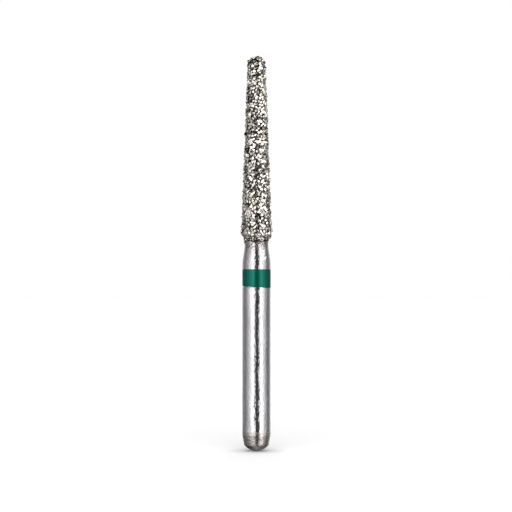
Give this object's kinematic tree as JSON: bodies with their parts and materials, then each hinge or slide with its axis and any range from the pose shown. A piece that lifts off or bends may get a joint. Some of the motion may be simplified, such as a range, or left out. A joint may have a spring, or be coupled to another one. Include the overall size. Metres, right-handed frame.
{
  "type": "dental bur",
  "caption": "Friction-grip dental bur: a ground steel shank with a green lacquered ring and a tapered, round-ended head of nickel-bonded diamond grit.",
  "frame": {"origin": "on the bur's axis at the middle of the shank's rounded end, the lowest point of the part", "axes": "+Z along the bur's axis from the shank's end to the head's tip; +X to the right and -Y towards the viewer in the picture's view"},
  "size_m": [0.0018, 0.0018, 0.0225],
  "materials": {
    "steel": "stainless steel, centreless ground along the shank and turned at the neck and the end",
    "band_lacquer": "baked green lacquer, glossy",
    "diamond_grit": "coarse diamond grains held in bright electroplated nickel"
  },
  "bodies": {
    "root": {"steel_blank": "steel", "colour_band": "band_lacquer", "diamond_coat": "diamond_grit"}
  },
  "joints": []
}
